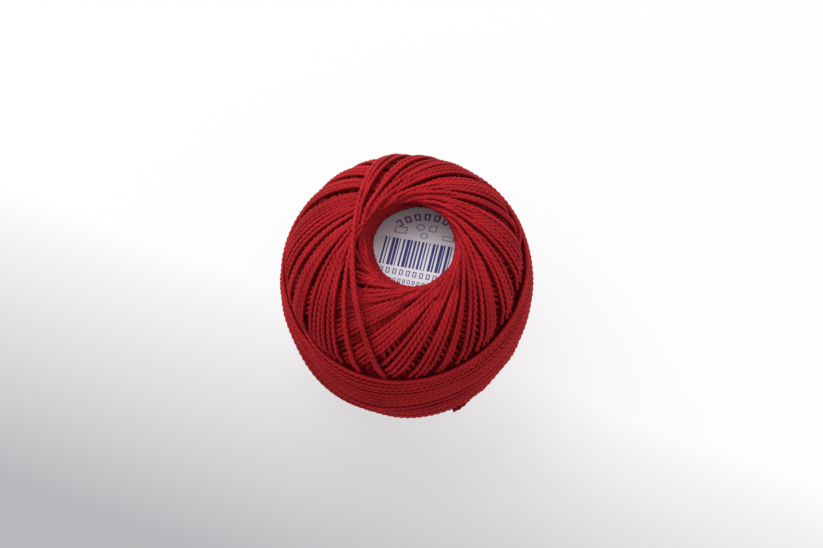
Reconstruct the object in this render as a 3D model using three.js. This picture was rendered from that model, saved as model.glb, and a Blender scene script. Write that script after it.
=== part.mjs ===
// A small machine-wound ball of twisted cotton thread with a round paper label in its open end.
// Millimetres, +Z up along the winding. The origin is under the ball, on the surface it stands on.
import * as THREE from "three";

// The wound form: a round barrel, the same shape as |r / halfWidth|^squareness + |z / halfHeight|^squareness = 1
const halfWidth = 20.2;
const halfHeight = 20.4;
const squareness = 2.5;
const restDepth = 18.3; // from the middle of the form down to the flat ring it stands on

// The slanting turns: each is a loop round the form that passes beside the hole at both ends
const axisLean = new THREE.Vector2(0.037, -0.105); // sideways shift of the winding's axis for each mm up
const loopSlant = 0.43; // how far a loop stays off the axis, for each mm up
const lastAngle = 177; // degrees round the hole at which the last loop passes it
const twistCount = 19; // bands of turns laid in one trip round the hole
const twistHeight = 0.9;
const twistFadeStart = 5; // the bands run together this near the place where they pass the hole
const twistFadeEnd = 11;

// The last turns lie on each other in one raised bundle
const bundleSlant = 0.49;
const bundleHeight = 1.3;
const bundleHalfWidth = 1.5;

// The belt of level turns round the middle
const beltHeight = 1.25;
const beltTop = { level: 7.8, lean: 2.0, leanAngle: 18, saddle: 0.35, saddleAngle: 350 };
const beltFoot = { level: -8.0, lean: 1.0, leanAngle: 82, saddle: 2.3, saddleAngle: 172 };
const beltEdge = 1.1;
const gapBelowTop = 9.7; // the narrow gap in the belt runs this far below its top edge
const gapFront = { further: 2.2, angle: 250, sharpness: 13.6 }; // but further down in front
const gapLeft = { nearer: 5.5, angle: 195, sharpness: 10.5 }; // and nearer to the edge at the left
const gapHalfWidth = 0.7;

// The hole in the upper end, and the label under it
const holeRadius = 7.8;
const holeCentre = new THREE.Vector2(0.65, -1.83);
const lipRound = 1.8;
const firstTurnSink = 1.0; // how much deeper the first turns pass the hole than the last ones
const sinkNear = 9;
const sinkFar = 16;
const labelRadius = 9.9;
const labelThickness = 1.0;
const labelCentre = new THREE.Vector3(2.9, 0, 12.8); // middle of the printed face, from the form's middle
const labelTilt = 8; // degrees, the side at -Y higher
const labelSeat = new THREE.Vector2(1.85, 1.2); // centre of the ring of thread that holds the label down
const labelSeatRadius = 7.4;
const clearance = 0.3;

// The hole in the lower end
const footCentre = new THREE.Vector2(-0.5, 1.4);
const footRadius = 7.0;
const footRound = 1.2;
const footFloorRadius = 5.6;
const footDepth = 3.5;

// Steps of the surface
const columns = 104;
const sideRows = 38;
const lipRows = 3;
const wallRows = 2;

const radians = THREE.MathUtils.degToRad;

// Distance from the middle to the form's surface at a latitude in radians.
function formReach(latitude) {
  const across = Math.pow(Math.abs(Math.cos(latitude)) / halfWidth, squareness);
  const along = Math.pow(Math.abs(Math.sin(latitude)) / halfHeight, squareness);
  return Math.pow(across + along, -1 / squareness);
}

// Moves a point along its ray from the middle until it stands this high above the form.
function liftOnto(point, height) {
  const latitude = Math.atan2(point.z, Math.hypot(point.x, point.y));
  return point.setLength(formReach(latitude) + height);
}

// Height of a belt line above the middle, at an angle round the ball in radians.
function beltLine(line, angle) {
  const lean = line.lean * Math.cos(angle - radians(line.leanAngle));
  const saddle = line.saddle * Math.cos(2 * (angle - radians(line.saddleAngle)));
  return line.level + lean + saddle;
}

// 1 at one angle round the ball, falling to 0 away from it.
function bump(angle, centre, sharpness) {
  return Math.exp(sharpness * (Math.cos(angle - radians(centre)) - 1));
}

// Height of the gap between the belt's two groups of turns.
function beltGap(angle) {
  const front = gapFront.further * bump(angle, gapFront.angle, gapFront.sharpness);
  const left = gapLeft.nearer * bump(angle, gapLeft.angle, gapLeft.sharpness);
  return beltLine(beltTop, angle) - gapBelowTop - front + left;
}

// A point's distances from the leaning axis of the winding.
function fromAxis(point) {
  return new THREE.Vector2(point.x - axisLean.x * point.z, point.y - axisLean.y * point.z);
}

// How long before the last loop another one was laid, as an angle round the hole from 0 to 2 pi.
function ageOf(passAngle) {
  return THREE.MathUtils.euclideanModulo(radians(lastAngle) - passAngle, 2 * Math.PI);
}

// The bands of slanting turns. Two arms of loops cross at each point, and the later one lies on top.
function twistRelief(point) {
  const across = fromAxis(point);
  const radius = across.length();
  const offset = THREE.MathUtils.clamp(loopSlant * point.z, -radius, radius);
  const reach = Math.acos(offset / radius);
  const age = Math.min(ageOf(across.angle() - reach), ageOf(across.angle() + reach));
  const wave = 0.5 - 0.5 * Math.cos(twistCount * age);
  const along = Math.sqrt(radius * radius - offset * offset);
  return twistHeight * wave * THREE.MathUtils.smoothstep(along, twistFadeStart, twistFadeEnd);
}

// The first turns lie deeper round the upper hole, and the last ones step back up over them.
function sinkAtHole(point) {
  const across = fromAxis(point);
  const age = ageOf(across.angle()) / (2 * Math.PI);
  const step = 1 - THREE.MathUtils.smoothstep(age, 0.86, 1);
  const near = 1 - THREE.MathUtils.smoothstep(across.length(), sinkNear, sinkFar);
  return point.z > 0 ? firstTurnSink * age * step * near : 0;
}

// The raised bundle, all the way along the last loop.
function bundleRelief(point) {
  const pass = new THREE.Vector2(Math.cos(radians(lastAngle)), Math.sin(radians(lastAngle)));
  const beside = fromAxis(point).dot(pass) - bundleSlant * point.z;
  return bundleHeight * Math.exp(-Math.pow(beside / bundleHalfWidth, 2));
}

// How much of the belt stands at this point, from 0 to 1, with a narrow gap between its two groups of turns.
function beltShare(point) {
  const angle = Math.atan2(point.y, point.x);
  const below = THREE.MathUtils.smoothstep(beltLine(beltTop, angle) - point.z, -beltEdge, 0);
  const above = THREE.MathUtils.smoothstep(point.z - beltLine(beltFoot, angle), -beltEdge, 0);
  const gap = Math.exp(-Math.pow((point.z - beltGap(angle)) / gapHalfWidth, 2));
  return below * above * (1 - 0.7 * gap);
}

// Height of the winding above the form. The belt levels what it crosses.
function relief(point) {
  const belt = beltShare(point);
  const turns = Math.max(twistRelief(point), bundleRelief(point)) - sinkAtHole(point);
  return turns * (1 - belt) + beltHeight * belt;
}

// A ring of points round a centre, one for each column.
function ring(centre, radius, heightAt) {
  return Array.from({ length: columns }, (_, i) => {
    const angle = (i / columns) * 2 * Math.PI;
    const point = new THREE.Vector3(centre.x + radius * Math.cos(angle), centre.y + radius * Math.sin(angle), 0);
    point.z = heightAt(point, i);
    return point;
  });
}

// Height of a plane that is parallel to the label's printed face and lies this far above it.
function labelPlane(offset) {
  const slope = Math.tan(radians(labelTilt));
  return (point) => labelCentre.z + offset / Math.cos(radians(labelTilt)) - slope * (point.y - labelCentre.y);
}

// The lower end: a plain recess, and the flat ring that the ball stands on.
function footRings() {
  const floor = () => -restDepth + footDepth;
  const rings = [ring(footCentre, 0, floor), ring(footCentre, footFloorRadius, floor)];
  for (let i = 0; i <= lipRows; i++) {
    const turn = ((i / lipRows) * Math.PI) / 2;
    const radius = footRadius + footRound * (1 - Math.cos(turn));
    rings.push(ring(footCentre, radius, () => -restDepth + footRound * (1 - Math.sin(turn))));
  }
  return rings;
}

// The outside, from the edge of the flat ring up to the edge of the hole, with its relief.
function sideRings() {
  const flatRadius = halfWidth * Math.pow(1 - Math.pow(restDepth / halfHeight, squareness), 1 / squareness);
  const first = Math.atan2(-restDepth, flatRadius);
  const rimRadius = holeRadius + lipRound;
  const last = Math.acos(rimRadius / halfHeight);
  return Array.from({ length: sideRows + 1 }, (_, row) => {
    const latitude = THREE.MathUtils.lerp(first, last, row / sideRows);
    const shift = THREE.MathUtils.smoothstep(latitude, radians(25), last);
    const centre = holeCentre.clone().multiplyScalar(shift);
    const radius = row < sideRows ? formReach(latitude) * Math.cos(latitude) : rimRadius;
    const height = formReach(latitude) * Math.sin(latitude);
    const grown = THREE.MathUtils.smoothstep(row, 0, 3);
    return ring(centre, radius, () => height).map((point) => {
      const high = relief(point) * grown;
      return liftOnto(point, high);
    });
  });
}

// The hole in the upper end: its round lip, the wall down to the label and the groove that holds the label.
function holeRings(rim) {
  const rings = [];
  for (let i = 1; i <= lipRows; i++) {
    const turn = ((i / lipRows) * Math.PI) / 2;
    const radius = holeRadius + lipRound * (1 - Math.sin(turn));
    rings.push(ring(holeCentre, radius, (_, column) => rim[column].z - lipRound * (1 - Math.cos(turn))));
  }
  const lip = rings[rings.length - 1];
  const seat = ring(labelSeat, labelSeatRadius, labelPlane(clearance));
  for (let i = 1; i < wallRows; i++) {
    rings.push(lip.map((point, column) => point.clone().lerp(seat[column], i / wallRows)));
  }
  const grooveRadius = labelRadius + clearance;
  const grooveFloor = labelPlane(-labelThickness - clearance);
  rings.push(seat);
  rings.push(ring(labelCentre, grooveRadius, labelPlane(clearance)));
  rings.push(ring(labelCentre, grooveRadius, grooveFloor));
  rings.push(ring(labelCentre, 0, grooveFloor));
  return rings;
}

// Two triangles between four corners, split along the diagonal whose ends lie most nearly level.
function quad(points, a, b, c, d) {
  const bend = (p, q) => Math.abs(points[p].length() - points[q].length());
  return bend(a, c) < bend(b, d) ? [a, b, c, a, c, d] : [a, b, d, b, c, d];
}

// A closed skin over rings that run from a point in the lower end to a point in the upper end.
function woundGeometry(rings) {
  const points = [rings[0][0], ...rings.slice(1, -1).flat(), rings[rings.length - 1][0]];
  const top = points.length - 1;
  const lastRing = top - columns;
  const index = [];
  for (let i = 0; i < columns; i++) {
    const next = (i + 1) % columns;
    index.push(0, 1 + next, 1 + i);
    for (let start = 1; start < lastRing; start += columns) {
      index.push(...quad(points, start + i, start + next, start + columns + next, start + columns + i));
    }
    index.push(lastRing + i, lastRing + next, top);
  }
  const geometry = new THREE.BufferGeometry().setFromPoints(points);
  geometry.setIndex(index);
  geometry.translate(0, 0, restDepth);
  geometry.computeVertexNormals();
  return geometry;
}

function threadBall() {
  const side = sideRings();
  const rings = [...footRings(), ...side, ...holeRings(side[side.length - 1])];
  const material = new THREE.MeshStandardMaterial({ color: 0xa5191e, roughness: 0.7, metalness: 0 });
  const mesh = new THREE.Mesh(woundGeometry(rings), material);
  mesh.name = "thread_ball";
  return mesh;
}

function endLabel() {
  const disc = new THREE.CylinderGeometry(labelRadius, labelRadius, labelThickness, 48);
  disc.rotateX(Math.PI / 2);
  disc.translate(0, 0, -labelThickness / 2);
  const material = new THREE.MeshStandardMaterial({ color: 0xe4e0dc, roughness: 0.6, metalness: 0 });
  const mesh = new THREE.Mesh(disc, material);
  mesh.name = "end_label";
  mesh.position.set(labelCentre.x, labelCentre.y, labelCentre.z + restDepth);
  mesh.rotation.x = -radians(labelTilt);
  return mesh;
}

const ball = new THREE.Group();
ball.add(threadBall(), endLabel());
export default ball;
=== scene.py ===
# %% [markdown]
# # A small ball of twisted cotton thread
# The real object is about 45 metres of two-ply cotton, wound by a machine into a ball 43 mm wide.
# The thread runs in slanting loops that pass beside a hole at each end, and a belt of level turns
# goes round the middle. A round paper label lies at the bottom of the upper hole.
# In this lesson every turn that shows is laid as its own twisted tube, worked out from the way the
# machine winds. All lengths are in millimetres until a mesh is made.

# %% Load the imported model and keep its meshes where they stand
import math

import bpy
import numpy as np
from mathutils import Matrix, Vector


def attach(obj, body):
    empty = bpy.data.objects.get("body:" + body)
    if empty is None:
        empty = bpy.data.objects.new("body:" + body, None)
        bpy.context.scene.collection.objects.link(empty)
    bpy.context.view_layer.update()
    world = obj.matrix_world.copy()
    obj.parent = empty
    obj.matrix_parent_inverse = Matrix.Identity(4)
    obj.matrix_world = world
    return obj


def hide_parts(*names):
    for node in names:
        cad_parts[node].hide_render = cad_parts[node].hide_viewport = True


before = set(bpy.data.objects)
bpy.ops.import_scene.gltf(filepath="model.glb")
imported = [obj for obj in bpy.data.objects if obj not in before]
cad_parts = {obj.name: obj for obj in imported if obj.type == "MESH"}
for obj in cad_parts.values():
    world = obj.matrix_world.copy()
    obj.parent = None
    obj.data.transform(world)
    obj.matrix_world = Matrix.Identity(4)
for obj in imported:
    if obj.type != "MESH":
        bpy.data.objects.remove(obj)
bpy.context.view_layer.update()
print("CAD nodes:", sorted(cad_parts))

# %% [markdown]
# ## The camera
# The photo looks down on the ball at 63 degrees through a long lens, which keeps the round form
# almost free of perspective. A camera could be aimed with a Track To constraint, but a plain matrix
# made of the three directions of the picture says the same in one line and can't drift.

# %% The camera of the photo
mm = 0.001
rest_depth = 18.3  # the middle of the ball stands this high
down_angle = math.radians(63)
sight = Vector((0, math.cos(down_angle), -math.sin(down_angle)))
picture_up = Vector((0, math.sin(down_angle), math.cos(down_angle)))
picture_right = Vector((1, 0, 0))
camera_distance = 450
right_shift, up_shift = 0.846, 2.03  # the picture's middle lies this far from the ball's

camera_data = bpy.data.cameras.new("photo_camera")
camera_data.lens = 116.3
camera_data.sensor_width = 36
camera_data.clip_start, camera_data.clip_end = 0.01, 20
camera = bpy.data.objects.new("photo_camera", camera_data)
bpy.context.scene.collection.objects.link(camera)
place = -camera_distance * sight + right_shift * picture_right + up_shift * picture_up
place += Vector((0, 0, rest_depth))
axes = Matrix((picture_right, picture_up, -sight)).transposed().to_4x4()
camera.matrix_world = Matrix.Translation(place * mm) @ axes
bpy.context.scene.camera = camera
print("camera at", [round(x, 4) for x in camera.location])

# %% [markdown]
# ## The form under the thread
# A wound ball is not a sphere: its sides are a little straighter, as in a round barrel. One formula,
# a superellipse turned about the upright axis, gives that form, and every turn is set at some height
# above it. Working with one formula keeps all the turns on one surface, with no fitting by eye.

# %% Heights above the wound form
half_width = 20.2
half_height = 20.4
squareness = 2.5


def form_reach(points):
    """Distance from the middle to the form's surface, in the direction of each point."""
    length = np.linalg.norm(points, axis=-1)
    across = np.hypot(points[..., 0], points[..., 1]) / length / half_width
    along = np.abs(points[..., 2]) / length / half_height
    return (across**squareness + along**squareness) ** (-1 / squareness)


def stand_on_form(points, height):
    """The points moved along their rays until they stand this high above the form."""
    length = np.linalg.norm(points, axis=-1)
    return points * ((form_reach(points) + height) / length)[..., None]


def smooth(x, low, high):
    """0 below low, 1 above high, and an even rise between."""
    share = np.clip((x - low) / (high - low), 0, 1)
    return share * share * (3 - 2 * share)


def wander(x, reach, rates, dice):
    """A slow, seeded wandering to and fro along x, no further than reach."""
    waves = [np.sin(rate * x + dice.uniform(0, 2 * math.pi)) for rate in rates]
    return reach * np.mean(waves, axis=0)


print("widest", half_width * 2, "mm, highest", half_height * 2, "mm before it is flattened below")

# %% [markdown]
# ## The belt's edges
# The last turns on the real ball run level round its middle, where they lock the slanting loops. Their
# band leans a little, and a narrow dark gap parts it into two groups. The gap dips in front and climbs
# towards the upper edge at the left, where the turns lie on each other. The edges could be drawn as
# curves, but a level, a lean and a saddle say the same in a few numbers. They are needed first, because
# the slanting turns end under the belt.

# %% Lines of the belt
belt_top = {"level": 8.1, "lean": 2.0, "lean_angle": 18, "saddle": 0.35, "saddle_angle": 350}
belt_foot = {"level": -8.0, "lean": 1.0, "lean_angle": 82, "saddle": 2.3, "saddle_angle": 172}
gap_below_top = 10


def belt_line(line, angle):
    """Height of an edge of the belt at an angle round the ball in radians."""
    lean = line["lean"] * np.cos(angle - math.radians(line["lean_angle"]))
    saddle = line["saddle"] * np.cos(2 * (angle - math.radians(line["saddle_angle"])))
    return line["level"] + lean + saddle


def bump(angle, centre, width):
    """1 at an angle given in degrees, falling to 0 some width away from it."""
    return np.exp(2 * (np.cos(angle - math.radians(centre)) - 1) / math.radians(width) ** 2)


def belt_gap(angle):
    """Height of the gap between the belt's two groups of turns."""
    front_dip = 2.2 * bump(angle, 250, 22)
    left_climb = 5.5 * bump(angle, 195, 25)
    return belt_line(belt_top, angle) - gap_below_top - front_dip + left_climb


print("belt from", belt_foot["level"], "to", belt_top["level"], "mm from the middle")

# %% [markdown]
# ## One turn of twisted thread
# The thread is two plies twisted together, so its section is a waisted round that turns as it runs
# along. A curve with a bevel would give a smooth hose with no plies. Here each ring of a tube is
# placed one by one: the ring stays level with the ball's face, and the waist travels round it, which makes
# the plies wind without twisting the faces. All tubes of one piece go into one mesh.

# %% Tubes of two-ply thread
thread_radius = 0.43
ply_lay = 2.05  # length in which the plies go once round each other
ply_waist = 0.16
ply_painted_shade = 0.32  # how much painted shade darkens the groove of a ply against its crest
painted_side_light = 0.25  # painted shade: what is left of the light at a thread's sides, where its neighbours would shade it


def courses_apart(keep):
    """First and last index of every run of True in keep."""
    edges = np.flatnonzero(np.diff(np.concatenate([[0], keep.astype(int), [0]])))
    return [(a, b) for a, b in zip(edges[::2], edges[1::2]) if b - a > 4]


def even_steps(course, step):
    """The same course with its points an even step apart."""
    gone = np.concatenate([[0], np.cumsum(np.linalg.norm(np.diff(course, axis=0), axis=1))])
    marks = np.linspace(0, gone[-1], max(3, int(gone[-1] / step) + 1))
    return np.stack([np.interp(marks, gone, course[:, i]) for i in range(3)], axis=1), marks


def thread_rings(course, outward, step, sides, dice):
    """Rings of one tube along a course. outward gives the ball's outward direction at its points."""
    centres, marks = even_steps(course, step)
    along = np.gradient(centres, axis=0)
    along /= np.linalg.norm(along, axis=1)[:, None]
    up = outward(centres)
    up -= (up * along).sum(1)[:, None] * along
    up /= np.linalg.norm(up, axis=1)[:, None]
    aside = np.cross(along, up)
    around = np.arange(sides) / sides * 2 * math.pi
    phase = dice.uniform(0, 2 * math.pi) - 2 * math.pi * marks / ply_lay
    crest_and_painted_shade = np.cos(2 * (around[None, :] - phase[:, None]))
    reach = thread_radius * (1 - ply_waist + ply_waist * crest_and_painted_shade)
    # Painted shade: the groove of each ply and the sides of each thread are darkened, where the plies and the
    # neighbouring threads would shade them.
    painted_side_factor = painted_side_light + (1 - painted_side_light) * smooth(np.cos(around), -0.3, 0.75)
    spread = up[:, None] * np.cos(around)[:, None] + aside[:, None] * np.sin(around)[:, None]
    return {"places": centres[:, None] + spread * reach[..., None], "marks": marks,
            "crest_and_painted_shade": (1 - ply_painted_shade + ply_painted_shade * crest_and_painted_shade) * painted_side_factor, "tone_and_painted_shade": dice.uniform(0, 1)}


def from_middle(points):
    return points / np.linalg.norm(points, axis=1)[:, None]


print("a two-ply thread", 2 * thread_radius, "mm thick")

# %% [markdown]
# ## From rings to a mesh
# Thousands of rings become one mesh by filling Blender's arrays directly, which is far quicker than
# bmesh for such numbers. Each tube is closed at both ends, and the body and the label are made by the
# same function later. A mesh of threads also carries a map that lays the tubes out side by side as flat
# strips, so that a texture can follow the thread, and two attributes: a painted shade for each point,
# dark in the groove of a ply and at the thread's sides and light on its crest, and a tone for each
# length of thread, which also holds painted shade on the older loops.

# %% A closed skin over rings


def closed_skin(rings, columns, first=0):
    """Corners and sizes of the faces over so many rings of points, with both ends closed."""
    i = first + np.arange(rings - 1)[:, None] * columns
    j = np.arange(columns)
    after = (j + 1) % columns
    quads = np.stack([i + j, i + after, i + columns + after, i + columns + j], axis=-1)
    last = first + (rings - 1) * columns
    corners = np.concatenate([quads.ravel(), first + j[::-1], last + j])
    return corners, np.concatenate([np.full((rings - 1) * columns, 4), [columns, columns]])


def filled_mesh(name, places, corners, sizes):
    """A smooth mesh from points in mm from the ball's middle, and the corners of its faces."""
    mesh = bpy.data.meshes.new(name)
    mesh.vertices.add(len(places))
    mesh.vertices.foreach_set("co", ((places + [0, 0, rest_depth]) * mm).astype(np.float32).ravel())
    mesh.loops.add(len(corners))
    mesh.loops.foreach_set("vertex_index", corners.astype(np.int32))
    mesh.polygons.add(len(sizes))
    starts = np.concatenate([[0], np.cumsum(sizes)[:-1]])
    mesh.polygons.foreach_set("loop_start", starts.astype(np.int32))
    mesh.polygons.foreach_set("use_smooth", np.ones(len(sizes), bool))
    mesh.update(calc_edges=True)
    mesh.validate()
    return mesh


def put_in_scene(name, mesh):
    piece = bpy.data.objects.new(name, mesh)
    bpy.context.scene.collection.objects.link(piece)
    return piece


print("a tube of 3 rings of 8 points has", len(closed_skin(3, 8)[1]), "faces")

# %% The map of strips
strip_margin = 0.15
strip_height = 2 * (math.pi * thread_radius + strip_margin)
strip_break = 1.2  # empty length between two tubes
cap_place, cap_radius = 0.3, 0.2  # where the round end of a tube lies beyond its strip


def strip_map(tube, cursor, row_length):
    """Places on the map, in mm, of the corners of a tube's faces and of its two closed ends."""
    sides = tube["places"].shape[1]
    j = np.arange(sides)
    start = cursor + tube["marks"][:-1]
    row = np.floor(start / row_length)
    left = start - row * row_length
    right = left + np.diff(tube["marks"])
    foot = row[:, None] * strip_height + strip_margin
    low = foot + j / sides * (strip_height - 2 * strip_margin)
    high = foot + (j + 1) / sides * (strip_height - 2 * strip_margin)
    left_side, right_side = (edge[:, None] * np.ones(sides) for edge in (left, right))
    u = np.stack([left_side, left_side, right_side, right_side], axis=-1)
    v = np.stack([low, high, high, low], axis=-1)
    flat = [(u.ravel(), v.ravel())]
    turn = j / sides * 2 * math.pi
    for at, line in ((left[0] - cap_place, row[0]), (right[-1] + cap_place, row[-1])):
        cap_u = max(at, cap_place) + cap_radius * np.cos(turn)
        cap_v = (line + 0.5) * strip_height + cap_radius * np.sin(turn)
        flat.append((cap_u, cap_v))
    return flat


print("strips of the map are", round(strip_height, 2), "mm high")

# %% A mesh of many threads


def store_values(mesh, label, values):
    """Keep one number for each point of the mesh."""
    store = mesh.attributes.new(label, "FLOAT", "POINT")
    store.data.foreach_set("value", np.concatenate(values).astype(np.float32))


def thread_mesh(name, tubes):
    """One object with all the tubes, its strip map and its attributes."""
    total = sum(t["marks"][-1] + strip_break for t in tubes)
    row_length = math.sqrt(total * strip_height) * 1.02
    skins, flat = [], []
    first, cursor = 0, 0.0
    for tube in tubes:
        rings, sides = tube["crest_and_painted_shade"].shape
        skins.append(closed_skin(rings, sides, first))
        flat += strip_map(tube, cursor, row_length)
        first += rings * sides
        cursor += tube["marks"][-1] + strip_break
    corners, sizes = (np.concatenate(part) for part in zip(*skins))
    mesh = filled_mesh(name, np.concatenate([t["places"].reshape(-1, 3) for t in tubes]), corners, sizes)
    square = max(row_length, (math.floor(cursor / row_length) + 1) * strip_height) + 1
    uv = np.stack([np.concatenate(part) for part in zip(*flat)], axis=1) / square
    mesh.uv_layers.new(name="OFBake").uv.foreach_set("vector", uv.astype(np.float32).ravel())
    store_values(mesh, "crest_and_painted_shade", [t["crest_and_painted_shade"].ravel() for t in tubes])
    store_values(mesh, "tone_and_painted_shade", [np.full(t["crest_and_painted_shade"].size, t["tone_and_painted_shade"]) for t in tubes])
    triangles = int((sizes - 2).sum())
    print(name, "-", len(tubes), "lengths,", round(cursor / 1000, 2), "m,", triangles, "triangles")
    return put_in_scene(name, mesh)


print("threads of one piece share a mesh")

# %% [markdown]
# ## How the machine lays the loops
# Each loop lies almost in a plane that misses the axis by a fixed share of its height, so it passes
# beside the hole at both ends. Between its two arms a loop turns a little further round, early loops
# more than late ones. The machine turns the ball after each loop, and after a few loops somewhat more,
# which leaves the open ladders between the bands. The loops could be drawn one by one, but a list of
# bands is shorter and easier to change. It says for each band, from the last one back to the first, at
# which angles its loops come to the hole and how many there are.

# %% The bands of loops
axis_lean = np.array([0.037, -0.105])  # sideways shift of the winding's axis for each mm up
loop_slant = 0.43  # how far a loop stays off the axis for each mm up
bands = [(174, 165, 3), (157, 152, 2), (147, 127, 6), (120, 105, 5), (97.5, 94, 2), (87.5, 64, 7),
         (56.5, 44.5, 4), (37, 26.5, 4), (19.5, 15.5, 2), (8.5, 6, 2), (-0.5, -7.5, 3), (-14, -25.5, 4),
         (-32.5, -44.5, 5), (-52.5, -66.5, 5), (-74, -92, 6), (-100, -116, 5), (-124, -139, 5),
         (-147, -162, 5), (-170, -182, 4)]
band_width = 0.9  # the loops of a band lie this much closer than an even spread would bring them
come_angles = np.concatenate([
    (a + b) / 2 + np.linspace(a - b, b - a, count) / 2 * band_width for a, b, count in bands])
crowns = np.concatenate([np.sin(math.pi * (np.arange(count) + 0.5) / count) for _, _, count in bands])
samples = 1080  # points along one loop

# where a loop comes to the hole, and where it leaves it
come_table = [-186, -70, -10.5, 41, 60, 91, 124, 127, 147, 152, 157, 165, 174]
leave_table = [-182.7, -51, 8.5, 60, 76, 109, 131, 134.5, 154.5, 162.6, 163.4, 176.2, 177.3]
last_come, last_leave = come_table[-1], leave_table[-1]


def leave_angle(come):
    return np.interp(come, come_table, leave_table)


print(len(come_angles), "loops in", len(bands), "bands")


# %% The course of one loop
margin, fade = 7, 15  # points by which a covered stretch is widened, and over which it begins and ends


def loop_course(come, slant, turn):
    """Directions along a loop. turn is 0 where it passes the upper hole, and pi at the lower one."""
    leave = leave_angle(come)
    here = np.radians(come + (leave - come) * (1 + np.tanh(3 * np.sin(turn))) / 2)
    ease = 1 / math.hypot(1, slant)
    x = np.cos(turn) * ease * slant * np.cos(here) - np.sin(turn) * np.sin(here)
    y = np.cos(turn) * ease * slant * np.sin(here) + np.sin(turn) * np.cos(here)
    z = np.cos(turn) * ease
    return np.stack([x + axis_lean[0] * z, y + axis_lean[1] * z, z], axis=1)


def covered(come, slant, turn):
    """1 where later loops cross over this one, and 0 where it lies on top."""
    toward_hole = slant / math.hypot(1, slant) * np.cos(turn)
    round_hole = 2 * np.degrees(np.arctan2(np.abs(np.sin(turn)), toward_hole))
    leaving_under = round_hole < last_come - leave_angle(come)
    coming_under = round_hole > 360 - (last_leave - come)
    under = np.where(np.sin(turn) >= 0, leaving_under, coming_under)
    wide = under.copy()
    for shift in range(-margin, margin + 1):
        wide |= np.roll(under, shift)
    kernel = np.hanning(2 * fade + 1)
    ring = np.concatenate([wide[-fade:], wide, wide[:fade]]).astype(float)
    return np.convolve(ring, kernel / kernel.sum(), mode="valid")


print("a loop has", len(loop_course(0, loop_slant, np.linspace(0, 2 * math.pi, samples))), "points")


# %% [markdown]
# ## Laying every loop
# Two sets of loops cross at each place, and the later one lies on top, so a loop is high on one arm
# and low on the other. Near the hole the loops crowd together: there some slip below their
# neighbours, as they do on a real ball, and the first ones lie deepest, like the foot of a spiral
# stair. A physics simulation of 45 m of thread would take hours, and these rules give the same order.

# %% Heights of the loops
top_height = 0.5  # middle of a top turn above the form
under_drop = 0.72
slip_drop = 0.45
stair_drop = 2.0
band_crown = 0.3  # the middle of a band stands this much higher than its edges
table_height = -rest_depth + 0.42
step_angle = math.radians(3.5)  # from one loop to the next, on average
newest_rise, newest_slant = 0.3, 0.035  # the last loops stand higher and pass further from the hole
belt_press = 0.45
loop_waves = (3, 5, 8)


def share_of_stair(angle):
    """How early the loops at this angle of the hole were laid, with a quick step back at the last ones."""
    age = np.mod(math.radians(last_leave) - angle, 2 * math.pi) / (2 * math.pi)
    return age * (1 - smooth(age, 0.9, 1))


def slipped(order, turn):
    """How far a loop has slipped below its neighbours near the places where it passes a hole."""
    apart = step_angle * np.abs(np.sin(turn)) * half_width
    drop = np.zeros_like(turn)
    for halving, limit in ((2, 0.5), (4, 0.25), (8, 0.125)):
        if order % halving == halving // 2:
            drop = slip_drop * (1 - smooth(apart, limit * 0.8, limit * 1.1))
    return drop


def pressed(places):
    """How far the belt presses down a turn that runs in under it."""
    around = np.arctan2(places[:, 1], places[:, 0])
    above = smooth(belt_line(belt_top, around) - places[:, 2], -1.6, 0.2)
    below = smooth(places[:, 2] - belt_line(belt_foot, around), -1.6, 0.2)
    return belt_press * np.minimum(above, below)


def lay_loop(order, come, dice):
    """The course of one loop in mm from the middle, and how far it lies under later ones."""
    turn = np.linspace(0, 2 * math.pi, samples, endpoint=False)
    age = (last_leave - leave_angle(come)) / 360
    newest = math.exp(-((age / 0.06) ** 2))
    slant = loop_slant + newest_slant * newest + dice.uniform(-0.009, 0.009)
    course = loop_course(come + dice.uniform(-0.4, 0.4), slant, turn)
    under = covered(come, slant, turn)
    near_pass = 1 - smooth(np.abs(np.sin(turn)), 0.25, 0.9)
    height = top_height + newest_rise * newest * near_pass + wander(turn, 0.07, loop_waves, dice)
    height = height + band_crown * (crowns[order] - 0.6) * (1 - near_pass)
    height = height - under_drop * under - slipped(order, turn)
    height = height - stair_drop * age * (1 - 0.9 * smooth(np.abs(np.sin(turn)), 0.1, 0.9))
    placed = stand_on_form(course, height)
    placed = stand_on_form(course, height - pressed(placed))
    placed[:, 2] = np.maximum(placed[:, 2], table_height + 0.55 * under)
    return placed, under


print("a top turn stands", top_height, "mm above the form, a covered one", under_drop, "mm lower")

# %% The upper and lower slanting turns
top_step, top_sides = 0.26, 8  # mm from ring to ring, and points in a ring
under_step, under_sides = 0.38, 6


def outside_belt(placed):
    """Where a course lies above the belt's upper edge, and where it lies below its lower one."""
    around = np.arctan2(placed[:, 1], placed[:, 0])
    above = placed[:, 2] > belt_line(belt_top, around) - 1.2
    return above, placed[:, 2] < belt_line(belt_foot, around) + 1.2


dice = np.random.default_rng(45)
upper_top, upper_under, lower_top, lower_under = [], [], [], []
for order, come in enumerate(come_angles):
    placed, under = lay_loop(order, come, dice)
    above, below = outside_belt(placed)
    for keep, roll, tops, unders in ((above, samples // 2, upper_top, upper_under),
                                     (below, 0, lower_top, lower_under)):
        course, deep, kept = (np.roll(a, roll, axis=0) for a in (placed, under, keep))
        for a, b in courses_apart(kept & (deep < 0.98)):
            tops.append(thread_rings(course[a:b], from_middle, top_step, top_sides, dice))
        for a, b in courses_apart(kept & (deep >= 0.97)):
            unders.append(thread_rings(course[a:b], from_middle, under_step, under_sides, dice))
print(len(upper_top + lower_top), "lengths on top,", len(upper_under + lower_under), "covered ones")
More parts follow.
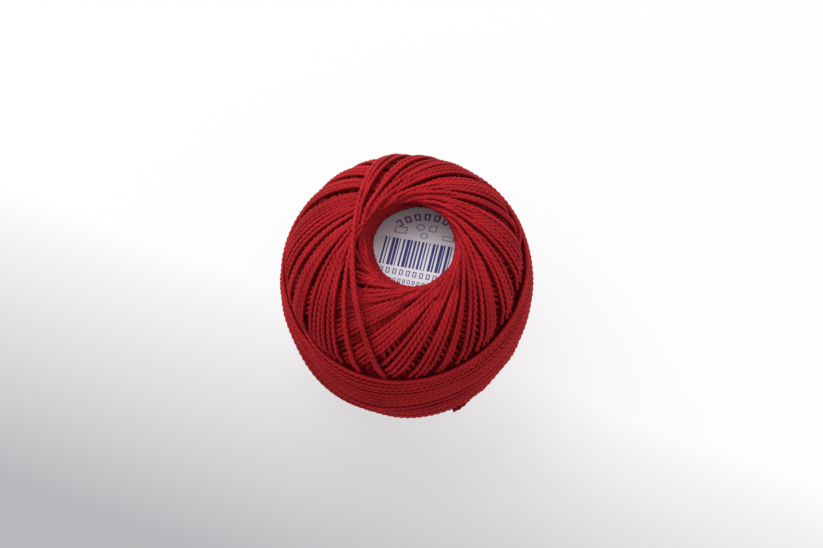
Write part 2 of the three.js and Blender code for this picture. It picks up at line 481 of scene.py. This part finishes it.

# %% [markdown]
# ## Older loops in the ladders
# Through the open ladders one looks past the crossing turns to older ones. They need not be exact, so
# one or two loops in each ladder, laid deeper, are enough to fill the view with thread. A lower tone
# gives them painted shade, as the turns above would shade them.

# %% Loops below the crossing turns
old_depth = -0.95
old_step, old_sides = 0.5, 6
old_painted_shade = -0.8  # painted shade: they are darker than the others, as the turns above would shade them
for (_, before, _), (after, _, _) in zip(bands, bands[1:] + [(bands[0][0] - 360, 0, 0)]):
    for come in np.linspace(before, after, 4 if before - after > 7 else 3)[1:-1]:
        turn = np.linspace(0, 2 * math.pi, samples, endpoint=False)
        depth = old_depth + wander(turn, 0.1, loop_waves, dice)
        placed = stand_on_form(loop_course(come, loop_slant, turn), depth)
        placed[:, 2] = np.maximum(placed[:, 2], table_height + 0.9)
        above, below = outside_belt(placed)
        clear = np.abs(np.sin(turn)) > 0.4
        for keep, roll, unders in ((above, samples // 2, upper_under), (below, 0, lower_under)):
            course, kept = (np.roll(a, roll, axis=0) for a in (placed, keep & clear))
            for a, b in courses_apart(kept):
                old = thread_rings(course[a:b], from_middle, old_step, old_sides, dice)
                # Painted shade: the older loops get a lower tone.
                unders.append({**old, "tone_and_painted_shade": old["tone_and_painted_shade"] + old_painted_shade})
print(len(upper_under + lower_under), "covered and older lengths")

# %% The four pieces of slanting turns
slanting_upper = thread_mesh("slanting_turns_upper", upper_top)
crossing_upper = thread_mesh("crossing_turns_upper", upper_under)
slanting_lower = thread_mesh("slanting_turns_lower", lower_top)
crossing_lower = thread_mesh("crossing_turns_lower", lower_under)

# %% [markdown]
# ## The belt
# The belt is the end of the thread, wound level round the middle in two groups. A ring for each turn
# would be simpler, but a real turn climbs to the next, so each group is one long screw line from its
# upper to its lower edge. Its turns lie at uneven distances, and where a group narrows, every other turn
# sinks under its neighbours. At the lower left the first turns of the lower group lie deeper, and both
# ends of a line are tucked in.

# %% Level turns
turn_pitch = 0.88
tuck = 2.0
level_waves, height_waves = (0.37, 1.31, 2.17, 0.83), (0.61, 1.7, 3.1)


def belt_course(upper, lower, height, first_sink, dice):
    """One screw line of turns that fills the band between two lines."""
    whole_round = np.linspace(0, 6.2, 50)
    turns = round(float(np.mean(upper(whole_round) - lower(whole_round))) / turn_pitch)
    angle = np.linspace(0, 2 * math.pi * turns, turns * 360)
    steps = np.concatenate([[0], np.cumsum(dice.uniform(0.75, 1.25, turns))])
    share = np.interp(angle / (2 * math.pi), np.arange(turns + 1), steps / steps[-1])
    level = upper(angle) * (1 - share) + lower(angle) * share + wander(angle, 0.24, level_waves, dice)
    course = np.stack([half_width * np.cos(angle), half_width * np.sin(angle), level], axis=1)
    narrow = 1 - smooth((upper(angle) - lower(angle)) / turns, 0.5, 0.85)
    from_end = np.minimum(angle, angle[-1] - angle) * half_width
    lift = height(angle) + wander(angle, 0.14, height_waves, dice)
    lift = lift - 0.3 * narrow * (1 + np.sin(angle / 2)) - tuck * (1 - smooth(from_end, 0, 6))
    lift = lift - first_sink(angle) * (1 - smooth(share, 0.05, 0.5))
    return stand_on_form(course, lift)


def half_gap(angle):
    """Half the width of the gap between the groups, which opens a little at the left."""
    return 0.46 + 0.38 * bump(angle, 226, 26)


upper_group = belt_course(lambda a: belt_line(belt_top, a) - 0.5, lambda a: belt_gap(a) + half_gap(a),
                          lambda a: 0.84 - 0.12 * bump(a, 180, 40), lambda a: 0, dice)
lower_group = belt_course(
    lambda a: belt_gap(a) - half_gap(a), lambda a: belt_line(belt_foot, a) + 0.45,
    lambda a: 0.75 - 0.42 * bump(a, 204, 15) - 0.25 * bump(a, 253, 10) - 0.5 * bump(a, 325, 22),
    lambda a: 0.8 * bump(a, 224, 26), dice)
belt_step, belt_sides = 0.27, 8
belt_upper = thread_mesh("belt_turns_upper",
                         [thread_rings(upper_group, from_middle, belt_step, belt_sides, dice)])

# %% The end of the thread
angle = np.radians(np.linspace(308, 293, 40))
end_share = np.linspace(0, 1, 40)
end_level = -9.0 - 1.3 * end_share
end_course = np.stack([half_width * np.cos(angle), half_width * np.sin(angle), end_level], axis=1)
end_course = stand_on_form(end_course, 0.3 + 1.0 * smooth(end_share, 0.0, 0.9))
belt_lower = thread_mesh("belt_turns_lower",
                         [thread_rings(course, from_middle, belt_step, belt_sides, dice)
                          for course in (lower_group, end_course)])

# %% [markdown]
# ## The walls of the two holes
# Inside a hole the thread shows as arcs that come out of the winding, run along the wall and go back
# in. A lathe-turned wall would look like a pipe, so the wall is covered with many such arcs, each
# on its own level, with both ends bent into the body. A flat coil of turns closes the lower hole.

# %% Arcs along a wall
hole_centre = np.array([0.65, -2.05])
hole_radius = 7.95
label_seat = np.array([1.93, 0.6])
label_seat_radius = 7.1
seat_length = 1.085  # the ring that holds the label is this much longer along Y
label_centre = np.array([2.9, 0.0, 12.8])
label_tilt = math.radians(8)
foot_centre = np.array([-0.5, 1.4])
foot_radius = 7.0
foot_depth = 3.5
arc_points = 60
arc_turn = 2.4  # radians round the hole from one arc to the next
wall_step, wall_sides = 0.3, 8


def upper_wall(angle, share):
    """A point of the upper hole's wall: share 0 is at the lip, and 1 is just above the label."""
    centre = np.outer(1 - share, hole_centre) + np.outer(share, label_seat)
    radius = hole_radius * (1 - share) + label_seat_radius * share
    x = centre[:, 0] + radius * np.cos(angle)
    y = centre[:, 1] + radius * np.sin(angle) * (1 + (seat_length - 1) * share)
    seat = label_centre[2] + 0.75 - math.tan(label_tilt) * (y - label_centre[1])
    z = (19.0 - stair_drop * share_of_stair(angle)) * (1 - share) + seat * share
    return np.stack([x, y, z], axis=1), centre


def lower_wall(angle, share):
    """A point of the lower hole's wall, from its mouth to its floor."""
    centre = np.outer(np.ones_like(share), foot_centre)
    x = centre[:, 0] + foot_radius * np.cos(angle)
    y = centre[:, 1] + foot_radius * np.sin(angle)
    z = -rest_depth + 0.9 + share * (foot_depth - 0.9)
    return np.stack([x, y, z], axis=1), centre


def wall_arcs(wall, count, span, fall, dice):
    """Arcs of thread all round a wall, from its mouth to its bottom."""
    arcs = []
    for i in range(count):
        angle = i * arc_turn + np.linspace(-span / 2, span / 2, arc_points)
        middle_share = (i + 0.5) / count
        share = np.clip(middle_share + fall * np.linspace(-0.5, 0.5, arc_points), -0.05, 1)
        places, centre = wall(angle, share)
        out = places[:, :2] - centre
        ends = np.abs(np.linspace(-1, 1, arc_points)) ** 5
        away = thread_radius + 0.06 + dice.uniform(0, 0.15) + 1.3 * ends
        out *= (1 + away / np.linalg.norm(out, axis=1))[:, None]
        places[:, :2] = centre + out
        inward = centre.mean(axis=0)

        def to_axis(points, inward=inward):
            way = np.concatenate([inward - points[:, :2], np.zeros((len(points), 1))], axis=1)
            return way / np.linalg.norm(way, axis=1)[:, None]

        arcs.append(thread_rings(places, to_axis, wall_step, wall_sides, dice))
    return arcs


hole_wall = thread_mesh("hole_wall_turns", wall_arcs(upper_wall, 54, 2.3, 0.3, dice))

# %% The closed lower end
floor_turns = int(foot_radius / 0.8)
angle = np.linspace(0.4, 2 * math.pi * floor_turns, 900)
reach = 0.25 + angle / angle[-1] * (foot_radius - 0.1)
floor_course = np.stack([foot_centre[0] + reach * np.cos(angle), foot_centre[1] + reach * np.sin(angle),
                         np.full_like(angle, -rest_depth + foot_depth)], axis=1)


def downward(points):
    return np.tile([0.0, 0.0, -1.0], (len(points), 1))


foot_parts = wall_arcs(lower_wall, 30, 2.3, 0.3, dice)
foot_parts.append(thread_rings(floor_course, downward, wall_step, wall_sides, dice))
foot_wall = thread_mesh("foot_wall_turns", foot_parts)

# %% [markdown]
# ## The body under the turns
# Between the turns one looks down on older thread, dark and close. A closed body just under the
# turns stands for it, so that no light shines through the ball. It follows the same form, with a
# recess at each end, and a groove that holds the label's edge.

# %% A closed body of rings
body_columns = 160
body_depth, belt_fill = 1.45, 1.3  # how far the body lies under the form, and how much less in the belt
steep = math.radians(61)  # the body's round side ends this far up, at the lip of the hole
label_radius = 9.9
label_thickness = 1.0
groove = 0.3


def round_ring(centre, radius, height_at):
    angle = np.arange(body_columns) / body_columns * 2 * math.pi
    x = centre[0] + radius * np.cos(angle)
    y = centre[1] + radius * np.sin(angle)
    return np.stack([x, y, height_at(x, y)], axis=1)


def at_height(z):
    return lambda x, y: np.full_like(x, z)


def beside_label(offset):
    """A plane parallel to the label's printed face, this far above it."""
    def height(x, y):
        return label_centre[2] + offset / math.cos(label_tilt) - math.tan(label_tilt) * (y - label_centre[1])
    return height


def body_rings():
    """Rings from the middle of the lower recess, round the outside, to the middle of the label's bed."""
    floor = -rest_depth + foot_depth + 0.35
    rings = [round_ring(foot_centre, r, at_height(floor)) for r in (2.0, 4.5, foot_radius + 0.6)]
    rings.append(round_ring(foot_centre, foot_radius + 0.75, at_height(-rest_depth + 1.3)))
    for latitude in np.linspace(-steep, steep, 64):
        shift = smooth(latitude, math.radians(25), steep)
        ray = round_ring((0, 0), math.cos(latitude), at_height(math.sin(latitude)))
        ring = stand_on_form(ray, np.full(body_columns, -1.0))
        ring[:, :2] += shift * hole_centre
        around = np.arctan2(ring[:, 1], ring[:, 0])
        inside = smooth(belt_line(belt_top, around) - ring[:, 2], 0.2, 1.6)
        inside *= smooth(ring[:, 2] - belt_line(belt_foot, around), 0.2, 1.6)
        near_lip = smooth(latitude, math.radians(40), math.radians(56))
        sink = near_lip * (0.1 + stair_drop * share_of_stair(around))
        ring = stand_on_form(ring, belt_fill * inside - body_depth - sink)
        ring[:, 2] = np.maximum(ring[:, 2], -rest_depth + 1.3)
        rings.append(ring)
    lip = round_ring(hole_centre, hole_radius + 0.75, at_height(17.6))
    lip[:, 2] -= stair_drop * share_of_stair(np.arctan2(lip[:, 1], lip[:, 0]))
    rings.append(lip)
    rings.append(round_ring(label_seat, label_seat_radius * seat_length + 0.4, beside_label(groove)))
    rings.append(round_ring(label_centre, label_radius + groove, beside_label(groove)))
    rings.append(round_ring(label_centre, label_radius + groove, beside_label(-label_thickness - groove)))
    rings.append(round_ring(label_centre, 4.0, beside_label(-label_thickness - groove)))
    return rings


rings = body_rings()
body_mesh = filled_mesh("wound_body", np.concatenate(rings), *closed_skin(len(rings), body_columns))
wound_body = put_in_scene("wound_body", body_mesh)
print("body of", len(body_mesh.polygons), "faces")

# %% [markdown]
# ## The label
# The label is a disc of white paper on card that the thread holds by its edge. It lies a little aslant.
# A cylinder would do for the solid, but real paper has a soft edge and is never quite flat, so its
# rings are worked out too. Its mesh is flat in its own frame and the object is then turned into
# place, because the print is drawn in the label's own coordinates.

# %% A paper disc
label_columns = 96


def label_rings():
    """Rings from the middle of the back, round the edge, to the middle of the printed face."""
    angle = np.arange(label_columns) / label_columns * 2 * math.pi
    outline = [(0.5, -label_thickness), (label_radius - 0.12, -label_thickness),
               (label_radius, -label_thickness + 0.12), (label_radius, -0.1), (label_radius - 0.1, 0)]
    outline += [(r, 0) for r in np.linspace(label_radius - 0.4, 0.5, 16)]
    rings = []
    for radius, z in outline:
        wave = 0.12 * (radius / label_radius) ** 2 * np.sin(2 * angle + 0.7)
        height = z + (wave if z == 0 else np.zeros(label_columns))
        rings.append(np.stack([radius * np.cos(angle), radius * np.sin(angle), height], axis=1))
    return rings


paper_rings = label_rings()
paper_mesh = filled_mesh("paper_label", np.concatenate(paper_rings) - [0, 0, rest_depth],
                         *closed_skin(len(paper_rings), label_columns))
paper_label = put_in_scene("paper_label", paper_mesh)
label_place = Matrix.Translation(Vector(label_centre + [0, 0, rest_depth]) * mm)
paper_label.matrix_world = label_place @ Matrix.Rotation(-label_tilt, 4, "X")
print("label", 2 * label_radius, "mm across")

# %% [markdown]
# ## Nodes in few words
# Materials are built from nodes. Two small helpers keep that short: one adds a node and links its
# inputs, and one does a sum with a Math node.

# %% Helpers for nodes


def new_material(name):
    material = bpy.data.materials.new(name)
    material.use_nodes = True
    tree = material.node_tree
    return material, tree, tree.nodes["Principled BSDF"]


def add_node(tree, kind, inputs=None, **settings):
    """A node with its settings made, and its inputs set or linked."""
    node = tree.nodes.new(kind)
    for key, value in settings.items():
        setattr(node, key, value)
    for key, value in (inputs or {}).items():
        if isinstance(value, bpy.types.NodeSocket):
            tree.links.new(value, node.inputs[key])
        else:
            node.inputs[key].default_value = value
    return node


def work_out(tree, operation, *values):
    """The result of a Math node."""
    node = add_node(tree, "ShaderNodeMath", operation=operation)
    for socket, value in zip(node.inputs, values):
        if isinstance(value, bpy.types.NodeSocket):
            tree.links.new(value, socket)
        else:
            socket.default_value = value
    return node.outputs[0]


print("two helpers for nodes")

# %% [markdown]
# ## Cotton
# The cotton is mercerised, so it is a deep red that keeps its colour in full light. Its grooves get
# painted shade in a nearly black red. One colour with a strong bump would look like plastic. Instead the
# colour goes from the painted shade of the grooves and the thread's sides to the red of the crests with
# the attribute of the mesh, and fine fibres run along the thread: a noise stretched along the strip map
# draws them, and lifts them a little as a bump.

# %% The thread's material
# painted shade: the nearly black red of a ply's groove and of a thread's sides
painted_shade_red = (0.10, 0.0004, 0.008, 1)
crest_red = (0.62, 0.024, 0.028, 1)
fibre_lines = 900
fibre_stretch = 0.06


def cotton(name, painted_shade_colour, crest_colour):
    material, tree, shader = new_material(name)
    crest_and_painted_shade = add_node(tree, "ShaderNodeAttribute", attribute_name="crest_and_painted_shade").outputs["Fac"]
    tone_and_painted_shade = add_node(tree, "ShaderNodeAttribute", attribute_name="tone_and_painted_shade").outputs["Fac"]
    strips = add_node(tree, "ShaderNodeUVMap", uv_map="OFBake").outputs["UV"]
    stretched = add_node(tree, "ShaderNodeMapping",
                         {"Vector": strips, "Scale": (fibre_lines * fibre_stretch, fibre_lines, 1)})
    fibres = add_node(tree, "ShaderNodeTexNoise",
                      {"Vector": stretched.outputs[0], "Scale": 1.0, "Detail": 3.0}).outputs[0]
    body = add_node(tree, "ShaderNodeTexCoord").outputs["Object"]
    patches = add_node(tree, "ShaderNodeTexNoise", {"Vector": body, "Scale": 260.0, "Detail": 2.0}).outputs[0]
    # Painted shade: the mix runs from the dark groove colour, where the attribute is low, to the crest
    # colour.
    share = work_out(tree, "MULTIPLY_ADD", fibres, 0.35, work_out(tree, "MULTIPLY_ADD", crest_and_painted_shade, 0.75, -0.05))
    deep = add_node(tree, "ShaderNodeMix", {"Factor": share, "A": painted_shade_colour, "B": crest_colour},
                    data_type="RGBA", clamp_factor=True)
    # The tone attribute varies each length of thread at random, and on the older loops it holds painted
    # shade.
    light = work_out(tree, "MULTIPLY_ADD", tone_and_painted_shade, 0.25, work_out(tree, "MULTIPLY_ADD", patches, 0.5, 0.62))
    shade = add_node(tree, "ShaderNodeHueSaturation", {"Value": light, "Color": deep.outputs["Result"]})
    tree.links.new(shade.outputs[0], shader.inputs["Base Color"])
    tree.links.new(work_out(tree, "MULTIPLY_ADD", fibres, 0.25, 0.38), shader.inputs["Roughness"])
    raised = add_node(tree, "ShaderNodeBump", {"Height": fibres, "Strength": 0.35, "Distance": 0.00006})
    tree.links.new(raised.outputs[0], shader.inputs["Normal"])
    shader.inputs["Specular IOR Level"].default_value = 0.04
    return material


thread_cotton = cotton("thread_cotton", painted_shade_red, crest_red)
threads = [slanting_upper, crossing_upper, slanting_lower, crossing_lower,
           belt_upper, belt_lower, hole_wall, foot_wall]
for piece in threads:
    piece.data.materials.append(thread_cotton)
print("cotton on", len(threads), "pieces")

# %% [markdown]
# ## The old thread under it
# What shows of the body is only seen through gaps, in shadow. More threads down there would cost many
# faces that nobody sees, so the body gets a darker red as painted shade, with lines of old turns drawn
# by a wave texture.

# %% The body's material
body_cotton, tree, shader = new_material("body_cotton")
place_node = add_node(tree, "ShaderNodeTexCoord").outputs["Object"]
lines = add_node(tree, "ShaderNodeTexWave",
                 {"Vector": place_node, "Scale": 330.0, "Distortion": 2.0, "Detail": 2.0},
                 bands_direction="DIAGONAL").outputs["Fac"]
# Painted shade: the body is a darker red than the threads, as the turns above would shade it.
old_red_in_painted_shade = add_node(tree, "ShaderNodeMix", {"Factor": lines, "A": (0.09, 0.001, 0.006, 1),
                                           "B": (0.23, 0.004, 0.013, 1)}, data_type="RGBA")
tree.links.new(old_red_in_painted_shade.outputs["Result"], shader.inputs["Base Color"])
old_bump = add_node(tree, "ShaderNodeBump", {"Height": lines, "Strength": 0.6, "Distance": 0.0002})
tree.links.new(old_bump.outputs[0], shader.inputs["Normal"])
shader.inputs["Roughness"].default_value = 0.8
shader.inputs["Specular IOR Level"].default_value = 0.05
wound_body.data.materials.append(body_cotton)
print("old cotton on the body")

# %% [markdown]
# ## Printed paper
# The label is white paper with plain blue marks: bars, rings, small outlines and rows of open boxes.
# They could be cut as thin shapes, but ink has no thickness, so each mark is a test on the label's own
# coordinates, and together the tests choose between paper and ink.

# %% Tests for printed marks
paper, tree, shader = new_material("printed_paper")
spot = add_node(tree, "ShaderNodeTexCoord").outputs["Object"]
page = add_node(tree, "ShaderNodeMapping", {"Vector": spot, "Rotation": (0, 0, math.radians(12)),
                                            "Scale": (1000, 1000, 1000)}).outputs[0]
split = add_node(tree, "ShaderNodeSeparateXYZ", {"Vector": page})
along_page, up_page = split.outputs[0], split.outputs[1]


def within(value, low, high):
    """1 where value lies between low and high."""
    middle, half = (low + high) / 2, (high - low) / 2
    off = work_out(tree, "ABSOLUTE", work_out(tree, "SUBTRACT", value, middle))
    return work_out(tree, "LESS_THAN", off, half)


def both(first, second):
    return work_out(tree, "MULTIPLY", first, second)


def dashes(value, pitch, filled):
    """A row of even dashes."""
    part = work_out(tree, "FRACT", work_out(tree, "DIVIDE", value, pitch))
    return within(part, 0.5 - filled / 2, 0.5 + filled / 2)


def open_boxes(value, pitch, filled, rim, height, low, high, line):
    """A row of small open boxes between two heights. rim is the width of a box's upright lines."""
    whole = both(dashes(value, pitch, filled), within(height, low, high))
    hole = both(dashes(value, pitch, filled - 2 * rim / pitch), within(height, low + line, high - line))
    return work_out(tree, "SUBTRACT", whole, hole)


def uneven_bars(value, pitch, thin, thick, seed):
    """Bars at one pitch, each of its own width between thin and thick."""
    cells = work_out(tree, "DIVIDE", value, pitch)
    cell = work_out(tree, "ADD", work_out(tree, "FLOOR", cells), seed)
    draw = add_node(tree, "ShaderNodeTexWhiteNoise", {"W": cell}, noise_dimensions="1D").outputs["Value"]
    mostly_thin = work_out(tree, "POWER", draw, 1.6)
    width = work_out(tree, "MULTIPLY_ADD", mostly_thin, (thick - thin) / pitch, thin / pitch)
    return work_out(tree, "LESS_THAN", work_out(tree, "FRACT", cells), width)


print("tests in mm on a page turned by 12 degrees")

# %% Small outlines


def outline(x, y, half_x, half_y, line):
    """The outline of a small upright box."""
    def box(grow):
        return both(within(along_page, x - half_x - grow, x + half_x + grow),
                    within(up_page, y - half_y - grow, y + half_y + grow))
    return work_out(tree, "SUBTRACT", box(line), box(0))


def away_from(x, y):
    """Distance on the page from a given place."""
    across = work_out(tree, "POWER", work_out(tree, "SUBTRACT", along_page, x), 2.0)
    up = work_out(tree, "POWER", work_out(tree, "SUBTRACT", up_page, y), 2.0)
    return work_out(tree, "SQRT", work_out(tree, "ADD", across, up))


def small_ring(x, y, radius, line):
    """The outline of a small circle."""
    return within(away_from(x, y), radius - line / 2, radius + line / 2)


from_centre = away_from(0.0, 0.0)
bearing = work_out(tree, "ARCTAN2", along_page, up_page)
print("the page is read by distance and bearing too")

# %% The marks on the page
bar_field = both(within(along_page, -7.3, 7.2), within(up_page, -3.9, 1.75))
curved_row = open_boxes(bearing, 0.235, 0.6, 0.034, from_centre, 6.3, 7.65, 0.24)
large_row = open_boxes(along_page, 1.12, 0.56, 0.16, up_page, -5.55, -4.45, 0.16)
small_row = open_boxes(along_page, 0.8, 0.6, 0.13, up_page, -7.1, -6.3, 0.14)
marks = [
    within(from_centre, 9.12, 9.3),
    both(curved_row, within(bearing, -0.87, 1.1)),
    both(bar_field, uneven_bars(along_page, 0.62, 0.17, 0.56, 11.0)),
    both(large_row, within(along_page, -7.2, 7.2)),
    both(small_row, within(along_page, -4.4, 3.8)),
    outline(-4.6, 3.5, 0.9, 0.55, 0.13),
    small_ring(-1.5, 4.6, 0.6, 0.14),
    outline(0.6, 4.7, 0.5, 0.5, 0.13),
    small_ring(-0.6, 3.0, 0.55, 0.14),
    outline(3.4, 3.2, 0.8, 0.35, 0.13),
]
ink = marks[0]
for mark in marks[1:]:
    ink = work_out(tree, "MAXIMUM", ink, mark)
ink = both(ink, work_out(tree, "GREATER_THAN", split.outputs[2], -0.3))  # on the upper face only
print(len(marks), "printed marks")

# %% Ink on paper
ink_blue = (0.003, 0.005, 0.17, 1)
grain = add_node(tree, "ShaderNodeTexNoise", {"Vector": page, "Scale": 2.5, "Detail": 4.0}).outputs[0]
white = add_node(tree, "ShaderNodeMix", {"Factor": grain, "A": (0.72, 0.70, 0.75, 1),
                                         "B": (0.88, 0.86, 0.91, 1)}, data_type="RGBA")
printed = add_node(tree, "ShaderNodeMix", {"Factor": work_out(tree, "MULTIPLY", ink, 0.94),
                                           "A": white.outputs["Result"], "B": ink_blue}, data_type="RGBA")
tree.links.new(printed.outputs["Result"], shader.inputs["Base Color"])
paper_bump = add_node(tree, "ShaderNodeBump", {"Height": grain, "Strength": 0.2, "Distance": 0.00003})
tree.links.new(paper_bump.outputs[0], shader.inputs["Normal"])
shader.inputs["Roughness"].default_value = 0.55
shader.inputs["Specular IOR Level"].default_value = 0.15
paper_label.data.materials.append(paper)
print("paper and ink on the label")

# %% [markdown]
# ## Table and light
# The photo has a plain white table, brighter at the far right, and light so soft that the ball throws
# hardly a shadow. In a studio that is a table lit from below as well as from above. Here the table
# glows a little by itself, a white world lights everything evenly, and one large lamp at the left
# gives the turns their form.

# %% The table
edge = 3.0
near_glow, far_glow = (0.28, 0.27, 0.29, 1), (0.78, 0.78, 0.785, 1)
floor_mesh = bpy.data.meshes.new("table")
corner_places = [(-edge, -edge, 0), (edge, -edge, 0), (edge, edge, 0), (-edge, edge, 0)]
floor_mesh.from_pydata(corner_places, [], [(0, 1, 2, 3)])
table = put_in_scene("table", floor_mesh)
glowing_table_material, tree, shader = new_material("glowing_table")
spread = add_node(tree, "ShaderNodeTexCoord").outputs["Object"]
grade = add_node(tree, "ShaderNodeSeparateXYZ", {"Vector": spread})
# Painted light: the table glows by itself, dim at the near left and bright at the far right.
away = work_out(tree, "MULTIPLY", grade.outputs[1], 8.3)
slope = work_out(tree, "MULTIPLY_ADD", grade.outputs[0], 3.4, away)
brighter = add_node(tree, "ShaderNodeMapRange", {"Value": slope, "From Min": -0.46, "From Max": 0.0})
glow = add_node(tree, "ShaderNodeMix", {"Factor": brighter.outputs[0], "A": near_glow, "B": far_glow},
                data_type="RGBA")
tree.links.new(glow.outputs["Result"], shader.inputs["Emission Color"])
shader.inputs["Emission Strength"].default_value = 1.0
shader.inputs["Base Color"].default_value = (0.2, 0.2, 0.2, 1)
shader.inputs["Roughness"].default_value = 0.9
shader.inputs["Specular IOR Level"].default_value = 0.1
floor_mesh.materials.append(glowing_table_material)
print("a table", 2 * edge, "m wide")

# %% The light
bpy.context.scene.view_settings.view_transform = "Standard"
world = bpy.data.worlds.new("soft_room")
world.use_nodes = True
world.node_tree.nodes["Background"].inputs["Color"].default_value = (0.98, 0.98, 1, 1)
world.node_tree.nodes["Background"].inputs["Strength"].default_value = 0.62
bpy.context.scene.world = world


def area_light(name, place, size, power):
    """A square lamp at a place in metres that faces the ball."""
    data = bpy.data.lights.new(name, "AREA")
    data.size = size
    data.energy = power
    lamp = bpy.data.objects.new(name, data)
    lamp.location = place
    lamp.rotation_mode = "QUATERNION"
    towards_ball = Vector((0, 0, 0.02)) - Vector(place)
    lamp.rotation_quaternion = towards_ball.to_track_quat("-Z", "Y")
    bpy.context.scene.collection.objects.link(lamp)
    return lamp


window = area_light("window_left", (-0.3, 0.4, 0.7), 0.8, 5.0)
print("lamp", window.data.energy, "W over a glowing table")

# %% [markdown]
# ## Tie the pieces to the model
# Every piece rides on the one body of the imported model. The threads and the body under them stand
# for the solid ball, and the paper disc for the solid label.

# %% Riding and replacing
for piece in threads + [wound_body]:
    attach(piece, "root")
    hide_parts("thread_ball")
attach(paper_label, "root")
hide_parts("end_label")
print(len(threads) + 2, "pieces ride on the body root")
